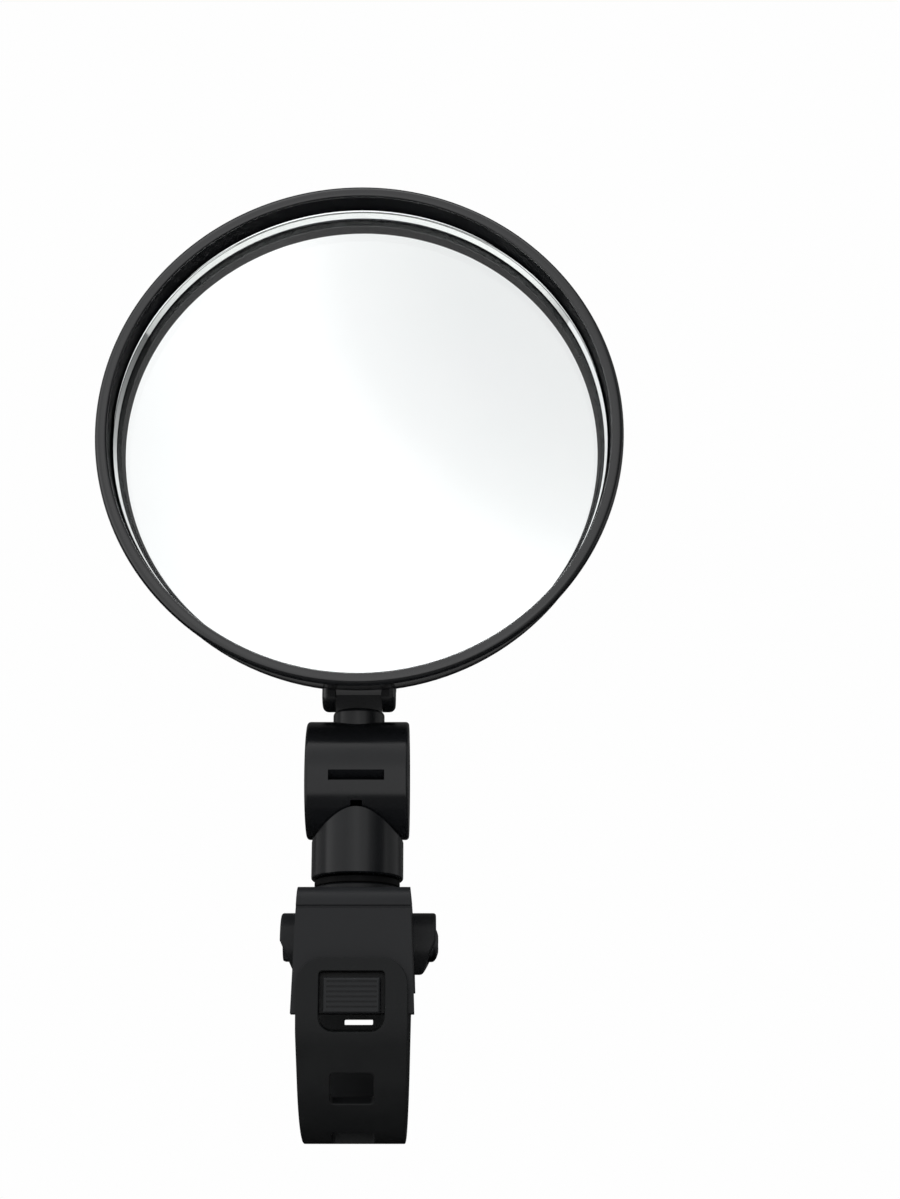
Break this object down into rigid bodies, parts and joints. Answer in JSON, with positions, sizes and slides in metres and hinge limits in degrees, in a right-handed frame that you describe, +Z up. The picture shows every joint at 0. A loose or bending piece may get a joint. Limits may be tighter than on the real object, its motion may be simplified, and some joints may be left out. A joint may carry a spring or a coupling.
{
  "type": "bike mirror",
  "caption": "Round convex bike mirror in a deep rim, on a tilting and turning stem with a strap clamp that hooks shut round a handlebar.",
  "frame": {"origin": "on the axis of the handlebar that the clamp grips, midway across the clamp", "axes": "+X along the handlebar, -Y the way the glass faces, +Z up the stem to the mirror"},
  "size_m": [0.08, 0.0288, 0.1449],
  "materials": {
    "black_plastic": "moulded black ABS with a satin skin",
    "rim_plastic": "moulded black ABS, semi-gloss",
    "strap_rubber": "flexible black strap, fine matt skin",
    "pad_rubber": "soft black rubber",
    "nylon": "black nylon",
    "black_steel": "blackened steel",
    "plain_steel": "bright zinc-plated steel",
    "silvered_glass": "convex glass, silvered behind, ground edge",
    "foam": "adhesive foam"
  },
  "bodies": {
    "clamp": {"clamp_base": "black_plastic", "saddle_pad": "pad_rubber", "clamp_screw": "plain_steel", "clamp_screw_washer": "plain_steel", "cross_bolt": "black_steel", "cross_bolt_nut": "black_steel", "strap_loop": "strap_rubber", "friction_washer": "nylon"},
    "strap_tip": {"strap_end": "strap_rubber"},
    "collar": {"swivel_collar": "black_plastic", "slider_nut": "plain_steel"},
    "barrel": {"tilt_barrel": "black_plastic", "barrel_cap_left": "black_plastic", "barrel_cap_right": "black_plastic"},
    "neck": {"neck_spindle": "black_plastic", "neck_washer": "plain_steel", "neck_screw": "plain_steel"},
    "head": {"bezel_ring": "rim_plastic", "mirror_glass": "silvered_glass", "backing_pad": "foam", "mirror_housing": "rim_plastic", "pivot_pin": "black_steel"}
  },
  "joints": [
    {"name": "collar_swivel", "type": "hinge", "parent": "clamp", "child": "collar", "pos_m": [0, 0, 0.025], "axis": [0, 0, 1], "continuous": true},
    {"name": "barrel_tilt", "type": "hinge", "parent": "collar", "child": "barrel", "pos_m": [0, 0, 0.04], "axis": [1, 0, 0], "range_deg": [-40, 40]},
    {"name": "neck_turn", "type": "hinge", "parent": "barrel", "child": "neck", "pos_m": [0, 0, 0.0474], "axis": [0, 0, 1], "continuous": true},
    {"name": "head_tilt", "type": "hinge", "parent": "neck", "child": "head", "pos_m": [0, 0, 0.054], "axis": [1, 0, 0], "range_deg": [-25, 25]},
    {"name": "strap_flex", "type": "hinge", "parent": "clamp", "child": "strap_tip", "pos_m": [0, -0.00794, -0.01017], "axis": [1, 0, 0], "range_deg": [0, 100]}
  ]
}
